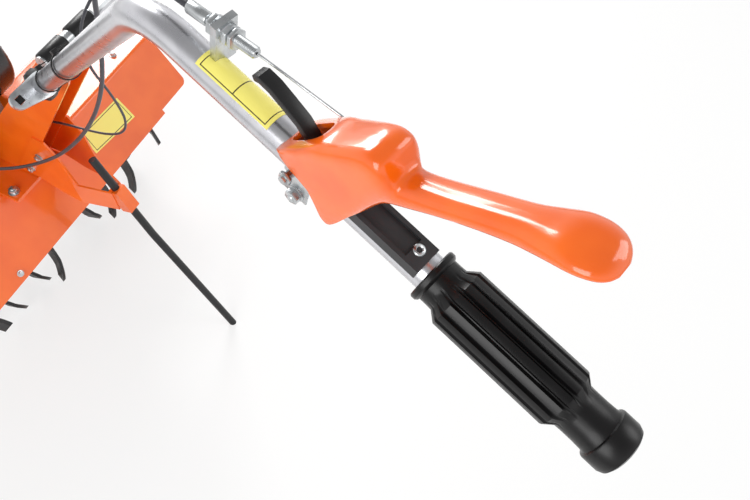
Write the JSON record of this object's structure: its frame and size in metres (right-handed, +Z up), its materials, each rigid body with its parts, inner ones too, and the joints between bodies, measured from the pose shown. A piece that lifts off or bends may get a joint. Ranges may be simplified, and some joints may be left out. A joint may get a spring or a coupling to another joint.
{
  "type": "petrol tiller",
  "caption": "Walk-behind petrol tiller: tine reel under a folded guard, drag stake, swung front wheel, and two handle arms with a dipped clutch lever.",
  "frame": {"origin": "middle of the footprint, on the floor under the tines and the drag stake", "axes": "+X forward, away from the handles; +Y to the operator's left, along the tine shaft; +Z up"},
  "size_m": [1.3802, 0.652, 1.0335],
  "materials": {
    "orange_paint": "gloss",
    "black_paint": "satin",
    "grey_paint": "satin",
    "zinc": "satin",
    "tine_steel": "satin",
    "engine_casting": "cast",
    "black_plastic": "matte",
    "grip_rubber": "matte",
    "dipped_plastic": "gloss",
    "tyre_rubber": "matte",
    "cable_sleeve": "satin"
  },
  "bodies": {
    "chassis": {"chain_case": "black_paint", "tine_guard": "orange_paint", "guard_wings": "orange_paint", "chassis_plate": "orange_paint", "handle_column": "orange_paint", "drag_bracket": "orange_paint", "wheel_mount": "black_paint", "fork_bolt": "zinc", "clamp_bolt": "zinc", "clamp_knob": "black_plastic", "engine_block": "engine_casting", "engine_cylinder": "engine_casting", "engine_shroud": "black_plastic", "recoil_starter": "black_plastic", "pull_handle": "black_plastic", "fuel_tank": "black_plastic", "tank_cap": "black_plastic", "air_filter": "black_plastic", "muffler": "black_paint", "belt_cover": "black_plastic", "clutch_cable": "cable_sleeve", "throttle_cable": "cable_sleeve"},
    "reel": {"rotor_shaft": "zinc", "reel_left": "tine_steel", "reel_right": "tine_steel"},
    "drag_stake": {"drag_stake": "black_paint"},
    "front_fork": {"wheel_fork": "black_paint", "wheel_axle": "zinc"},
    "front_wheel": {"wheel_rim": "black_plastic", "wheel_tyre": "tyre_rubber"},
    "handle": {"handle_yoke": "zinc", "cross_bar": "zinc", "arm_feet": "zinc", "arm_left": "grey_paint", "arm_right": "grey_paint", "grip_left": "grip_rubber", "grip_right": "grip_rubber", "lever_bolt": "zinc", "lever_tray": "black_plastic", "adjuster_post": "zinc", "adjuster_barrel": "zinc", "clutch_wire": "zinc", "throttle_box": "black_plastic", "throttle_lever": "black_plastic"},
    "clutch_lever": {"clutch_lever": "dipped_plastic", "lock_catch": "black_plastic"}
  },
  "joints": [
    {"name": "tines_turn", "type": "hinge", "parent": "chassis", "child": "reel", "pos_m": [0.33806, 0, 0.15], "axis": [0, 1, 0], "continuous": true},
    {"name": "wheel_swings_up", "type": "hinge", "parent": "chassis", "child": "front_fork", "pos_m": [0.51906, 0, 0.306], "axis": [0, 1, 0], "range_deg": [-75, 0]},
    {"name": "wheel_turns", "type": "hinge", "parent": "front_fork", "child": "front_wheel", "pos_m": [0.59506, 0, 0.103], "axis": [0, 1, 0], "continuous": true},
    {"name": "stake_slides", "type": "slide", "parent": "chassis", "child": "drag_stake", "axis": [0.336, 0, 0.9419], "range_m": [-0.05, 0.06]},
    {"name": "handle_tilts", "type": "hinge", "parent": "chassis", "child": "handle", "pos_m": [0.03306, 0, 0.64], "axis": [0, 1, 0], "range_deg": [-12, 12], "deforming": ["clutch_cable", "throttle_cable"]},
    {"name": "lever_closes", "type": "hinge", "parent": "handle", "child": "clutch_lever", "pos_m": [-0.44085, 0.2017, 0.93622], "axis": [0.2602, 0.9656, 0], "range_deg": [-27, 0], "stiffness_Nm_per_rad": 6, "springref_deg": 10.31, "deforming": ["clutch_wire"]}
  ]
}
